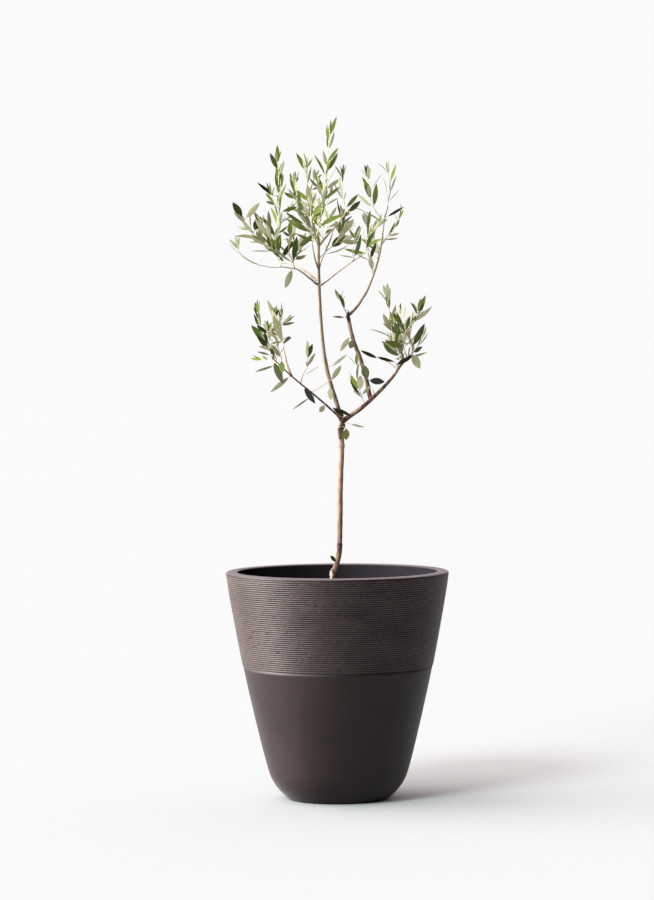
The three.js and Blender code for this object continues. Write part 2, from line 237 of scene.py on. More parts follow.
# Single leaves on their own stems: the limb, the share of its length where the stem leaves it,
# the stem and the blade as (x, y, z) in millimetres, the blade's width, its tint, and the side
# that faces the front.
LOOSE_LEAVES = [
    ("trunk", 0.2, (-2, -8, 2), (-10, -3, 11), 7, "mature", "upper"),
    ("trunk", 0.29, (1, -7, 2), (-3, -3, 5), 3.5, "deep", "upper"),
    ("trunk", 0.97, (10, -9, -4), (-1, -4, -21), 12, "olive", "upper"),
    ("leader", 0.12, (-3, -10, -2), (28, -5, -14), 6.5, "deep", "upper"),
    ("leader", 0.07, (7, -12, 0), (-21, -2, 17), 6.5, "deep", "upper"),
    ("leader", 0.06, (-2, -9, 6), (-1, -3, 14), 7, "mature", "upper"),
    ("trunk", 0.99, (16, -8, -2), (25, -4, -6), 3.5, "mature", "under"),
    ("left_bough", 0.54, (-1, -6, -2), (20, -8, -27), 10, "deep", "upper"),
    ("left_bough", 0.4, (-10, -6, -4), (-30, -6, -20), 3, "deep", "under"),
    ("left_bough", 0.26, (-1, -5, -2), (-9, -4, -12), 9, "mature", "under"),
    # This leaf's deep underside is painted shade: it hangs in shade.
    ("left_bough", 0.97, (0, -8, -4), (16, -6, -36), 12.5, "deep", "under"),
    ("left_bough", 0.74, (-3, -5, -4), (-32, -6, -26), 8, "mature", "under"),
    ("left_bough", 0.93, (-6, -5, -6), (-33, -3, -9), 4.5, "deep", "under"),
    ("left_bough", 0.98, (-7, -5, 8), (-21, -3, 6), 4, "deep", "under"),
    ("left_bough", 0.88, (2, -9, 8), (2, -6, -22), 10, "fresh", "upper"),
    ("leader", 0.26, (4, -5, 2), (16, -6, 25), 9, "mature", "under"),
    ("leader", 0.22, (-3, -8, 1), (1, -5, -21), 10, "olive", "under"),
    ("leader", 0.33, (10, -5, 2), (27, -5, 20), 5.5, "olive", "under"),
    ("riser", 0.4, (2, -8, 0), (6, -6, -25), 14, "deep", "under"),
    ("riser", 0.24, (6, -8, -3), (27, -5, -3), 12, "deep", "upper"),
    ("riser_foot_sprig", 0.25, (2, -5, 2), (15, -4, 16), 6, "mature", "under"),
    ("riser_foot_sprig", 0.45, (2, -6, 0), (1, -6, 24), 12, "olive", "under"),
    ("riser_foot_sprig", 0.2, (-4, -4, 2), (-12, -4, 10), 3.5, "olive", "under"),
    ("right_bough", 0.8, (-7, -6, 12), (-32, -3, 8), 5.5, "deep", "upper"),
    ("right_bough", 0.79, (-36, -9, 20), (-30, -4, 14), 6.5, "deep", "upper"),
    ("right_bough", 0.82, (-5, -7, 4), (29, -6, 17), 8, "deep", "upper"),
    ("right_bough", 0.97, (5, -7, 3), (13, -5, -25), 14, "mature", "under"),
    ("riser", 0.72, (-6, -8, 2), (-17, -4, -24), 9, "mature", "under"),
    ("riser", 0.7, (0, -8, 0), (-6, -5, -14), 12, "deep", "under"),
    ("riser", 0.95, (-8, -5, 2), (-20, -3, 2), 4, "deep", "under"),
    ("riser", 0.9, (-3, -5, 2), (4, -4, 20), 8, "deep", "upper"),
    ("crown_left_front_bough", 0.48, (0, -6, -3), (-12, -6, -32), 11, "mature", "under"),
    ("left_spire", 0.62, (-9, -3, 2), (-30, -6, 23), 6, "deep", "upper"),
    ("left_upper_mass", 0.98, (-2, -4, 3), (-17, -5, 25), 12, "mature", "upper"),
    ("left_upper_mass", 0.95, (-2, -6, 2), (-15, -5, 9), 7, "mature", "upper"),
    ("left_upper_mass", 0.95, (4, -5, 3), (23, -6, 27), 11, "mature", "under"),
    ("left_upper_mass", 0.68, (3, -8, 4), (11, -5, 25), 15, "mature", "upper"),
    ("top_spire", 0.62, (4, -5, 4), (17, -4, 31), 7, "olive", "upper"),
    ("top_spire", 0.45, (4, -5, 2), (25, -4, 18), 7, "mature", "under"),
    ("top_spire", 0.72, (2, -4, 2), (18, -4, 23), 6, "fresh", "upper"),
    ("upper_right_bough", 0.93, (5, -5, 2), (30, -5, 17), 5, "deep", "upper"),
    ("upper_right_bough", 0.72, (6, -5, 4), (23, -4, 2), 3, "deep", "under"),
    ("right_of_centre_spire", 0.25, (6, -8, -8), (21, -5, 19), 9, "mature", "upper"),
]

# Leafless twigs: the limb, the share of its length where the twig leaves it, the points it
# passes through, in millimetres from there, and its radius at the foot.
BARE_TWIGS = [
    ("crown_top_right_bough", 0.9, [(10, -4, 15), (24, -6, 19), (38, -7, 14), (45, -7, 2)], 0.9),
    ("left_bough", 0.46, [(16, -5, 7), (38, -6, 24)], 0.7),
    ("right_bough", 0.42, [(-1, -3, 8), (-4, -4, 15)], 0.8),
    ("crown_left_front_bough", 0.95, [(-20, -6, 10), (-42, -10, 26), (-52, -12, 36)], 0.55),
]


# ---- mesh builder


def new_object(name, data):
    """An object with this data, linked to the scene."""
    thing = bpy.data.objects.new(name, data)
    bpy.context.scene.collection.objects.link(thing)
    return thing


class Builder:
    """Collects vertices and faces for one joined mesh."""

    def __init__(self):
        self.verts = []
        self.faces = []
        self.slots = []
        self.values = []

    def add(self, verts, faces, slots=None, values=None):
        start = len(self.verts)
        self.verts.extend(tuple(v) for v in verts)
        self.faces.extend(tuple(start + i for i in face) for face in faces)
        self.slots.extend(slots or [0] * len(faces))
        self.values.extend(values or [0.0] * len(verts))

    def build(self, name, materials, attribute=None):
        mesh = bpy.data.meshes.new(name)
        mesh.from_pydata(self.verts, [], self.faces)
        for material in materials:
            mesh.materials.append(material)
        mesh.polygons.foreach_set("material_index", self.slots)
        mesh.polygons.foreach_set("use_smooth", [True] * len(self.faces))
        if attribute:
            layer = mesh.attributes.new(attribute, "FLOAT", "POINT")
            layer.data.foreach_set("value", self.values)
        if len(materials) > 1:
            sharpen_slot_borders(mesh, self.faces, self.slots)
        mesh.update()
        return new_object(name, mesh)


def sharpen_slot_borders(mesh, faces, slots):
    """Marks the edges between two slots as sharp, so each side keeps its own shading."""
    corner_edges = np.empty(len(mesh.loops), np.int32)
    mesh.loops.foreach_get("edge_index", corner_edges)
    corner_slots = np.repeat(slots, [len(face) for face in faces])
    lowest = np.full(len(mesh.edges), 99)
    highest = np.full(len(mesh.edges), -1)
    np.minimum.at(lowest, corner_edges, corner_slots)
    np.maximum.at(highest, corner_edges, corner_slots)
    layer = mesh.attributes.new("sharp_edge", "BOOLEAN", "EDGE")
    layer.data.foreach_set("value", lowest != highest)


def join_rings(rings, downwards=False):
    """Faces from each ring of points to the next; a ring can be a single point."""
    faces = []
    for one, two in zip(rings, rings[1:]):
        count = max(len(one), len(two))
        for k in range(count):
            n = (k + 1) % count
            if len(one) == 1:
                face = (one[0], two[n], two[k])
            elif len(two) == 1:
                face = (one[k], one[n], two[0])
            else:
                face = (one[k], one[n], two[n], two[k])
            faces.append((face[0], *face[:0:-1]) if downwards else face)
    return faces


def finish_piece(piece, nodes=()):
    """Fixes a piece to the plant's body, and has it replace these nodes."""
    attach(piece, ROOT)
    if nodes:
        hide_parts(*nodes)
    return piece


# ---- shapes read from the CAD


def node_points(name):
    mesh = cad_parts[name].data
    return np.array([v.co for v in mesh.vertices], float)


def farthest_pair(points):
    """The two points with the widest gap between them."""
    gaps = ((points[:, None, :] - points[None, :, :]) ** 2).sum(axis=2)
    first, second = np.unravel_index(int(gaps.argmax()), gaps.shape)
    return points[first], points[second]


def spine_of(name, count):
    """A long solid's two ends with its slices' centres between them, and the slices' radii."""
    points = node_points(name)
    edges = np.array([e.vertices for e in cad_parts[name].data.edges], int)
    start, end = farthest_pair(points)
    length = np.linalg.norm(end - start)
    along = (points - start) @ ((end - start) / length)
    a, b = edges[:, 0], edges[:, 1]
    centres, radii = [], []
    for k in range(count):
        height = length * (k + 0.5) / count
        crossing = (along[a] - height) * (along[b] - height) < 0
        one, two = points[a[crossing]], points[b[crossing]]
        if len(one) < 3:
            continue
        share = (height - along[a[crossing]]) / (along[b[crossing]] - along[a[crossing]])
        cut = one + (two - one) * share[:, None]
        centre = np.median(cut, axis=0) * 0.5 + cut.mean(axis=0) * 0.5
        centres.append(Vector(centre))
        radii.append(float(np.median(np.linalg.norm(cut - centre, axis=1))))
    return [Vector(start), *centres, Vector(end)], radii


def catmull(points, step):
    """Points at about this spacing along a smooth curve through the given ones."""
    padded = [points[0] * 2 - points[1], *points, points[-1] * 2 - points[-2]]
    out = []
    for i in range(1, len(padded) - 2):
        p0, p1, p2, p3 = padded[i - 1 : i + 3]
        pieces = max(1, round((p2 - p1).length / step))
        for k in range(pieces):
            t = k / pieces
            point = 2 * p1 + (p2 - p0) * t
            point += (2 * p0 - 5 * p1 + 4 * p2 - p3) * t * t
            point += (3 * p1 - p0 - 3 * p2 + p3) * t * t * t
            out.append(0.5 * point)
    out.append(padded[-2].copy())
    return out


def lengths_along(path):
    total, out = 0.0, [0.0]
    for one, two in zip(path, path[1:]):
        total += (two - one).length
        out.append(total)
    return out


def place_on(path, distance):
    """Point and direction at this distance along a path."""
    travelled = 0.0
    for one, two in zip(path, path[1:]):
        step = (two - one).length
        if travelled + step >= distance and step > 0:
            return one.lerp(two, (distance - travelled) / step), (two - one).normalized()
        travelled += step
    return path[-1].copy(), (path[-1] - path[-2]).normalized()


def frames_along(path):
    """A direction and two side vectors at each point, turning as little as possible."""
    padded = [path[0], *path, path[-1]]
    tangents = [(after - before).normalized() for before, after in zip(padded, padded[2:])]
    side = tangents[0].orthogonal().normalized()
    frames = []
    for tangent in tangents:
        side = (side - tangent * side.dot(tangent)).normalized()
        frames.append((tangent, side, tangent.cross(side)))
    return frames


# ---- materials


def principled(name):
    material = bpy.data.materials.new(name)
    material.use_nodes = True
    return material, material.node_tree, material.node_tree.nodes["Principled BSDF"]


def plain_material(name, color, roughness, specular=0.5):
    material, _, shader = principled(name)
    shader.inputs["Base Color"].default_value = (*color, 1)
    shader.inputs["Roughness"].default_value = roughness
    shader.inputs["Specular IOR Level"].default_value = specular
    return material


def ramp(tree, factor, stops):
    """The colour at this factor between the stops."""
    node = tree.nodes.new("ShaderNodeValToRGB")
    elements = node.color_ramp.elements
    while len(elements) < len(stops):
        elements.new(0.5)
    for element, (position, color) in zip(elements, stops):
        element.position = position
        element.color = (*color, 1)
    tree.links.new(factor, node.inputs["Fac"])
    return node.outputs["Color"]


def noise_value(tree, scale, detail, stretch=(1, 1, 1)):
    """Noise on the object's own coordinates."""
    where = tree.nodes.new("ShaderNodeTexCoord")
    mapping = tree.nodes.new("ShaderNodeMapping")
    mapping.inputs["Scale"].default_value = stretch
    node = tree.nodes.new("ShaderNodeTexNoise")
    node.inputs["Scale"].default_value = scale
    node.inputs["Detail"].default_value = detail
    tree.links.new(where.outputs["Object"], mapping.inputs["Vector"])
    tree.links.new(mapping.outputs["Vector"], node.inputs["Vector"])
    return node.outputs["Fac"]


def attribute_value(tree, name):
    """What the mesh carries under this name, point by point."""
    node = tree.nodes.new("ShaderNodeAttribute")
    node.attribute_name = name
    return node.outputs["Fac"]


def mix_colors(tree, factor, one, two):
    """Mixes two colours, each of them a constant or another node's output."""
    node = tree.nodes.new("ShaderNodeMix")
    node.data_type = "RGBA"
    for socket, value in zip((0, 6, 7), (factor, one, two)):
        if isinstance(value, tuple):
            node.inputs[socket].default_value = value
        else:
            tree.links.new(value, node.inputs[socket])
    return node.outputs[2]


def add_bump(tree, shader, height, strength, distance):
    bump = tree.nodes.new("ShaderNodeBump")
    bump.inputs["Strength"].default_value = strength
    bump.inputs["Distance"].default_value = distance
    tree.links.new(height, bump.inputs["Height"])
    tree.links.new(bump.outputs["Normal"], shader.inputs["Normal"])


def map_range(tree, source, from_range, to_range=(0.0, 1.0)):
    """Stretches a value from one range to another."""
    node = tree.nodes.new("ShaderNodeMapRange")
    for socket, value in zip(("From Min", "From Max", "To Min", "To Max"), (*from_range, *to_range)):
        node.inputs[socket].default_value = value
    tree.links.new(source, node.inputs["Value"])
    return node.outputs["Result"]


def clay_material(name):
    """Fibre clay; the attribute "crest" marks the worn ridge tops, painted a paler taupe for dust and as
    a painted highlight.
    """
    look = CLAY[name]
    material, tree, shader = principled(name)
    clouds = noise_value(tree, 9.0, 5.0)
    grain = noise_value(tree, 420.0, 3.0)
    crest_mottle = noise_value(tree, 16.0, 5.0, (1, 1, 2))
    body = ramp(tree, clouds, [(0.3, look.dark), (0.7, look.light)])
    color = mix_colors(tree, attribute_value(tree, "crest"), body, ramp(tree, crest_mottle, CREST_DUST_AND_HIGHLIGHT))
    tree.links.new(color, shader.inputs["Base Color"])
    roughness = map_range(tree, clouds, (0, 1), look.roughness)
    tree.links.new(roughness, shader.inputs["Roughness"])
    shader.inputs["Specular IOR Level"].default_value = look.specular
    shader.inputs["Sheen Weight"].default_value = look.sheen
    shader.inputs["Sheen Roughness"].default_value = 0.35
    add_bump(tree, shader, grain, 0.25, 0.4 * MM)
    return material


def bark_material(kind):
    """Streaky bark; the attribute "youth" fades it to the pale grey-green of a young shoot."""
    material, tree, shader = principled("bark_" + kind)
    streaks = noise_value(tree, BARK_SCALE[kind], 6.0, (1, 1, 0.2))
    color = ramp(tree, streaks, BARK_STOPS[kind])
    aged = mix_colors(tree, attribute_value(tree, "youth"), color, (*PALE_SHOOT, 1))
    tree.links.new(aged, shader.inputs["Base Color"])
    roughness = map_range(tree, streaks, (0, 1), (0.72, 0.9))
    tree.links.new(roughness, shader.inputs["Roughness"])
    shader.inputs["Specular IOR Level"].default_value = 0.15
    add_bump(tree, shader, streaks, 0.5, 0.5 * MM)
    return material


def soil_material():
    """Dark crumbly earth."""
    material, tree, shader = principled("potting_soil")
    crumbs = noise_value(tree, 130.0, 6.0)
    tree.links.new(ramp(tree, crumbs, SOIL_SHADES), shader.inputs["Base Color"])
    shader.inputs["Roughness"].default_value = 0.95
    shader.inputs["Specular IOR Level"].default_value = 0.0
    add_bump(tree, shader, crumbs, 0.8, 2.0 * MM)
    return material


# ---- planter


def outline_of(name):
    """(height, radius) pairs of a turned solid's outer wall, lowest first.

    A corner inside the line between its neighbours belongs to the inner wall and is dropped.
    """
    points = node_points(name)
    table = {}
    for x, y, z in points:
        height = round(float(z), 5)
        table[height] = max(table.get(height, 0.0), math.hypot(x, y))
    wall = []
    for z, r in sorted(table.items()):
        while len(wall) > 1:
            (z0, r0), (z1, r1) = wall[-2:]
            if (r1 - r0) * (z - z0) > (r - r0) * (z1 - z0):
                break
            wall.pop()
        wall.append((z, r))
    return wall


def smooth_value(table, x):
    """Smooth interpolation through a table of (x, value) pairs."""
    xs = [row[0] for row in table]
    i = max(0, min(len(xs) - 2, int(np.searchsorted(xs, x)) - 1))
    last = len(table) - 1
    (x0, y0), (x1, y1), (x2, y2), (x3, y3) = (table[max(0, min(last, i + k))] for k in (-1, 0, 1, 2))
    slope1 = (y2 - y0) / (x2 - x0)
    slope2 = (y3 - y1) / (x3 - x1)
    t = (x - x1) / (x2 - x1)
    h = x2 - x1
    return (
        y1 * (1 + 2 * t) * (1 - t) ** 2
        + slope1 * h * t * (1 - t) ** 2
        + y2 * t * t * (3 - 2 * t)
        + slope2 * h * t * t * (t - 1)
    )


def ridge_shape(phase):
    """Height of a ridge over its pitch: broad round crest, narrow valley."""
    return abs(math.sin(math.pi * phase)) ** POT["ridge_roundness"]


# One ring of the planter's skin: its radius, its height, how far it is up a ridge, and which.
Row = namedtuple("Row", "radius height ridge number", defaults=(0.0, -1))


def circle(count):
    """Cosine and sine of evenly spaced angles round a full turn."""
    angles = (2 * math.pi * k / count for k in range(count))
    return [(math.cos(angle), math.sin(angle)) for angle in angles]


def quarter_turn(radius, height, size, steps, way):
    """Points of a rounded corner; way is 1 for an outer edge going up, -1 for an inner one down."""
    points = []
    for k in range(steps + 1):
        angle = math.pi / 2 * k / steps
        across, along = size * (1 - math.cos(angle)), size * math.sin(angle)
        points.append((radius - across, height + along) if way > 0 else (radius - along, height - across))
    return points


def pot_inside_rows(height, lip):
    """The wall inside, down past the soil's edge, and the floor under the soil."""
    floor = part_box("soil")[0].z
    soil = outline_of("soil")
    soil_top, soil_radius = soil[-1]
    rows = []
    for k in range(POT["inside_rings"] + 1):
        z = height - (height - floor) * k / POT["inside_rings"]
        if z <= soil_top:
            radius = smooth_value(soil, max(z, soil[0][0])) + POT["soil_gap"]
        else:
            share = (z - soil_top) / (height - soil_top)
            radius = (soil_radius + POT["soil_gap"]) * (1 - share) + lip * share
        rows.append(Row(radius, z))
    rows.append(Row(0.0, floor - 0.3 * MM))
    return rows


def rim_rounding(height, outer):
    """Rings of the rounded edge between the planter's wall and the top of its rim."""
    rim_edge = outer[-2][0]
    radius = smooth_value(outer, rim_edge)
    rounding = quarter_turn(radius, rim_edge, height - rim_edge, POT["rounding_rings"], 1)
    return [Row(*point) for point in rounding]


def lip_radius(height):
    """Radius of the planter's mouth at its lip."""
    return min(math.hypot(p[0], p[1]) for p in node_points("pot") if p[2] > height - MM)


def pot_outside_rows(height, outer):
    """Rings of the planter's skin from the middle of its foot up to the rounding of its rim."""
    foot = outer[0][1]
    band_foot = POT["band_foot"] * height
    band_top = height * (1 - POT["top_margin"])
    rows = [Row(0.0, 0.0), Row(foot * 0.6, 0.0), Row(foot, 0.0)]
    for k in range(1, POT["side_rings"] + 1):
        z = band_foot * (k / POT["side_rings"]) ** POT["side_crowding"]
        rows.append(Row(smooth_value(outer, z) - POT["step"], z))
    count = POT["ridges"] * POT["points_per_ridge"]
    pitch = (band_top - band_foot) / POT["ridges"]
    for k in range(count + 1):
        z = band_foot + (band_top - band_foot) * k / count
        radius = smooth_value(outer, z) - POT["ridge_height"]
        rows.append(Row(radius, z, ridge_shape((z - band_foot) / pitch), k // POT["points_per_ridge"]))
    rounding = rim_rounding(height, outer)
    rows.append(Row(rounding[0].radius, band_top + 0.7 * MM))
    return rows + rounding[: POT["rounding_rings"] // 2]


def pot_rim_rows(height, outer):
    """Rings from the middle of the rim's rounding over its top, whose pale colour is a painted
    reflection, to the lip's inner side.
    """
    rows = rim_rounding(height, outer)[POT["rounding_rings"] // 2 - 1 :]
    inner_edge = quarter_turn(lip_radius(height) + POT["lip_round"], height, POT["lip_round"], 3, -1)
    return rows + [Row(*point) for point in inner_edge]


def ridge_lift(row, c, s):
    """How far a ridge stands out here: chipped low in places."""
    if row.number < 0:
        return 0.0
    chip = noise.noise(Vector((c * 24, s * 24, row.number * 1.7)))
    fine = noise.noise(Vector((c * 40, s * 40, row.number * 3.1)))
    worn = 1.0 - max(0.0, chip - 0.56) * 5.0 + 0.1 * fine
    return row.ridge * max(POT["lowest_ridge"], worn)


def turned_skin(name, rows, clay):
    """A turned skin through these rings, its ridges chipped and its surface a little uneven."""
    segments = POT["segments"]
    verts, values, rings = [], [], []
    for row in rows:
        if row.radius == 0.0:
            rings.append([len(verts)])
            verts.append((0.0, 0.0, row.height))
            values.append(0.0)
            continue
        rings.append(range(len(verts), len(verts) + segments))
        for c, s in circle(segments):
            lift = ridge_lift(row, c, s)
            r = row.radius + POT["ridge_height"] * lift
            r += POT["unevenness"] * noise.noise(Vector((c * 5, s * 5, row.height * 30)))
            verts.append((r * c, r * s, row.height))
            # How much a ridge top is painted paler: dust, and partly a painted highlight.
            values.append(min(1.0, max(0.0, lift - POT["pale_crest_from"]) * 7.0))
    builder = Builder()
    builder.add(verts, join_rings(rings), values=values)
    return builder.build(name, [clay_material(clay)], "crest")


def build_pot():
    """The planter's wall, rim and inside, a piece of its own each; returns the rim."""
    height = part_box("pot")[1].z
    outer = outline_of("pot")
    inside = pot_inside_rows(height - POT["lip_round"], lip_radius(height))
    finish_piece(turned_skin("planter", pot_outside_rows(height, outer), "fibre_clay"), ["pot"])
    finish_piece(turned_skin("planter_inside", inside, "inner_clay"))
    # The rim's pale clay is a painted reflection of the white studio.
    return finish_piece(turned_skin("planter_rim", pot_rim_rows(height, outer), "rim_clay_painted_reflection"))


def soil_height(x, y):
    """Height of the soil's crumbly surface at this place."""
    lumps = (size * noise.noise(Vector((x * fine, y * fine, fine))) for fine, size in SOIL_LUMPS)
    return SOIL_LEVEL + MM * sum(lumps)


def build_soil():
    """Potting soil: a lumpy crumbly top over a plain turned body."""
    outline = outline_of("soil")
    radius = outline[-1][1] - POT["mouth_margin"]
    segments = SOIL["segments"]
    round_ring = circle(segments)
    verts, rings = [(0.0, 0.0, soil_height(0.0, 0.0))], [[0]]
    for j in range(1, SOIL["rings"] + 1):
        r = radius * j / SOIL["rings"]
        rings.append(range(len(verts), len(verts) + segments))
        verts.extend((r * c, r * s, soil_height(r * c, r * s)) for c, s in round_ring)
    for z, r in reversed(outline[:-1]):
        rings.append(range(len(verts), len(verts) + segments))
        verts.extend(((r - MM) * c, (r - MM) * s, z + MM) for c, s in round_ring)
    rings.append([len(verts)])
    verts.append((0.0, 0.0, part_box("soil")[0].z + MM))
    builder = Builder()
    builder.add(verts, join_rings(rings, downwards=True))
    finish_piece(builder.build("soil_surface", [soil_material()]), ["soil"])
    build_crumbs(radius - SOIL["largest"])


def build_crumbs(radius):
    """Loose crumbs of peat, loam and bark chip that lie on the soil."""
    rng = random.Random(SEED)
    crumbs = {name: Builder() for name in SOIL_TINTS}
    for _ in range(SOIL["crumbs"]):
        reach, angle = radius * math.sqrt(rng.random()), rng.uniform(0, 2 * math.pi)
        x, y = reach * math.cos(angle), reach * math.sin(angle)
        size = rng.uniform(SOIL["smallest"], SOIL["largest"])
        centre = Vector((x, y, soil_height(x, y) + 0.2 * size))
        shape = Vector((size, size * rng.uniform(0.5, 1.0), size * rng.uniform(0.3, 0.7)))
        turn = Matrix.Rotation(rng.uniform(0, math.pi), 3, "Z")
        turn = turn @ Matrix.Rotation(rng.gauss(0, 0.3), 3, "X")
        add_lump(crumbs[rng.choice(list(SOIL_TINTS))], centre, shape, turn, rng.uniform(0, 50))
    for name, builder in crumbs.items():
        material = plain_material("soil_" + name, SOIL_TINTS[name], 0.95, 0.0)
        finish_piece(builder.build("soil_" + name, [material]))


def add_lump(builder, centre, shape, turn, seed, rings=5, sides=8):
    """A small uneven closed lump; shape holds its three half sizes."""
    verts = [centre + turn @ Vector((0, 0, shape.z))]
    for i in range(1, rings):
        lat = math.pi * i / rings
        for c, s in circle(sides):
            out = Vector((math.sin(lat) * c, math.sin(lat) * s, math.cos(lat)))
            rough = 1 + 0.5 * noise.noise(out * 1.8 + Vector((seed, 0, 0)))
            verts.append(centre + turn @ (out * shape) * rough)
    verts.append(centre - turn @ Vector((0, 0, shape.z)))
    rows = [range(i, i + sides) for i in range(1, len(verts) - 1, sides)]
    builder.add(verts, join_rings([[0], *rows, [len(verts) - 1]], downwards=True))


# ---- limbs


def tube(builder, path, radius_at, sides, paleness=0.0):
    """A closed tube along a path, of radius_at(share, angle, point), that pales to its tip."""
    frames = frames_along(path)
    reach = lengths_along(path)
    verts, values = [], []
    for i, (point, (_, side, cross)) in enumerate(zip(path, frames)):
        share = reach[i] / reach[-1]
        values.extend([paleness * min(1.0, share * BARK["fade"])] * sides)
        for k in range(sides):
            angle = 2 * math.pi * k / sides
            out = side * math.cos(angle) + cross * math.sin(angle)
            verts.append(point + out * radius_at(share, angle, point))
    rings = [range(i, i + sides) for i in range(0, len(verts), sides)]
    verts.extend([path[0], path[-1]])
    values.extend([values[0], values[-1]])
    ends = len(verts) - 2, len(verts) - 1
    builder.add(verts, join_rings([ends[:1], *rings, ends[1:]]), values=values)


def taper(thick, thin):
    """A radius that runs evenly from thick to thin."""
    return lambda share, angle, point: thick + (thin - thick) * share


def nearest_on(limbs, point):
    """The point of the limbs' centre lines nearest to this one."""
    return min((p for path in limbs.values() for p in path), key=lambda p: (p - point).length).copy()


def limb_path(name, placed):
    """A limb's centre line from the CAD, base first, run back into the limb it grows on."""
    points, radii = spine_of(name, BARK["slices"])
    third = len(radii) // 3
    if sum(radii[:third]) < sum(radii[-third:]):
        points.reverse()
        radii.reverse()
    if name == "trunk":
        points[0] = Vector((points[1].x, points[1].y, SOIL_LEVEL - BARK["buried"]))
    else:
        points[0] = nearest_on(placed, points[1])
    points[-1] = points[-1].lerp(points[-2], 0.15)
    return catmull(points, BARK["step"]), radii


def limb_radius(name, order, path, radii):
    """The function that gives a limb's radius: its taper, foot, scars and bark relief."""
    total = lengths_along(path)[-1]
    thick = sum(radii[:3]) / 3 if name != "trunk" else sorted(radii)[len(radii) // 2]
    thin = sum(radii[-3:]) / 3
    if LIMBS[name][0] == "young":
        thin *= BARK["young_tip"]

    def radius_at(share, angle, point):
        radius = (thick + (thin - thick) * share) * BARK["girth"]
        where = share * total
        if name == "trunk":
            above = max(0.0, point.z - SOIL_LEVEL)
            lobes = 1 + 0.3 * math.sin(3 * angle)
            radius *= 1 + BARK["flare"] * math.exp(-above / BARK["flare_height"]) * lobes
            for place, swell, width in TRUNK_SCARS:
                radius *= 1 + swell * math.exp(-(((share - place) * total / width) ** 2))
        else:
            radius *= 1 + BARK["collar"] * math.exp(-where / BARK["collar_length"])
        grain = Vector((math.cos(angle) * 1.6, math.sin(angle) * 1.6, where * 55 + order * 9))
        rough = noise.noise(grain) + 0.6 * noise.noise(grain * 3.1)
        return radius * (1 + BARK["relief"] * rough)

    return radius_at


def build_limbs(materials):
    """Builds the trunk and the boughs; returns their centre lines by name."""
    placed = {}
    for order, (name, (kind, paleness)) in enumerate(LIMBS.items()):
        path, radii = limb_path(name, placed)
        placed[name] = path
        builder = Builder()
        radius_at = limb_radius(name, order, path, radii)
        tube(builder, path, radius_at, BARK["sides"], paleness)
        if name == "trunk":
            add_knot(builder)
            add_stub(builder, path)
        finish_piece(builder.build("bark_" + name, [materials[kind]], "youth"), [name])
    return placed


def add_knot(builder):
    """The swollen knot on the left of the trunk's foot, read from the CAD trunk."""
    points = node_points("trunk")
    rise, half = KNOT["slice"]
    near = points[np.abs(points[:, 2] - SOIL_LEVEL - KNOT["height"] - rise) < half]
    left = Vector(near[near[:, 0].argmin()])
    centre = Vector((left.x + KNOT["inset"], left.y, SOIL_LEVEL + KNOT["height"]))
    add_lump(builder, centre, Vector(KNOT["half_size"]) * MM, Matrix.Identity(3), KNOT["seed"], 12, 18)


def add_stub(builder, trunk_path):
    """An old cut stub against the trunk's top, closed with a pale disc of wood."""
    foot, _ = place_on(trunk_path, lengths_along(trunk_path)[-1] * STUB["share"])
    foot += Vector(STUB["aside"]) * MM
    top = foot + Vector(STUB["rise"]) * MM
    thick, thin = (radius * MM for radius in STUB["radii"])
    tube(builder, catmull([foot, top], 3 * MM), taper(thick, thin), 12)
    face = Builder()
    cap = [top, top + (top - foot).normalized() * 0.5 * MM]
    tube(face, cap, taper(0.96 * thin, 0.8 * thin), 12)
    finish_piece(face.build("stub_face", [plain_material("cut_wood", CUT_WOOD, 0.8)]))


# ---- leaves


def leaf_half_width(t):
    """Lance outline: narrow foot, widest a little past the middle, pointed tip."""
    return math.sin(math.pi * t**0.92) ** 0.82


def add_leaf(builder, base, direction, up, length, width, bend, fold):
    """One closed leaf: upper skin in slot 0, underside in slot 1, folded along its midrib."""
    stations = LEAF["stations"]
    side = direction.cross(up).normalized()
    points, ups = [base.copy()], [up.copy()]
    heading, top = direction.copy(), up.copy()
    for _ in range(stations):
        turn = Matrix.Rotation(bend / stations, 3, side)
        heading, top = turn @ heading, turn @ top
        points.append(points[-1] + heading * (length / stations))
        ups.append(top.copy())
    verts, faces, slots = [points[0]], [], []
    for i in range(1, stations):
        half = width / 2 * leaf_half_width(i / stations)
        body = LEAF["thickness"] / 2
        for skin in (1, -1):
            for s in (-0.5, 0.0, 0.5):
                lift = abs(s) * half * fold + skin * body * (1 - s * s)
                verts.append(points[i] + side * s * half + ups[i] * lift)
        for s in (-1.0, 1.0):
            verts.append(points[i] + side * s * half + ups[i] * half * (fold - LEAF["edge_droop"]))
    verts.append(points[-1])
    tip = len(verts) - 1

    def row(i, skin):
        """A station's five points on one skin; it has three on each, and its two edges."""
        first = 1 + (i - 1) * 8
        middle = first if skin > 0 else first + 3
        return [first + 6, middle, middle + 1, middle + 2, first + 7]

    for skin, slot in ((1, 0), (-1, 1)):
        quads = []
        for i in range(1, stations - 1):
            one, two = row(i, skin), row(i + 1, skin)
            quads.extend((one[k], one[k + 1], two[k + 1], two[k]) for k in range(4))
        first, last = row(1, skin), row(stations - 1, skin)
        quads.extend((0, first[k + 1], first[k]) for k in range(4))
        quads.extend((last[k], last[k + 1], tip) for k in range(4))
        faces.extend(quad[::skin] for quad in quads)
        slots.extend([slot] * len(quads))
    builder.add(verts, faces, slots)


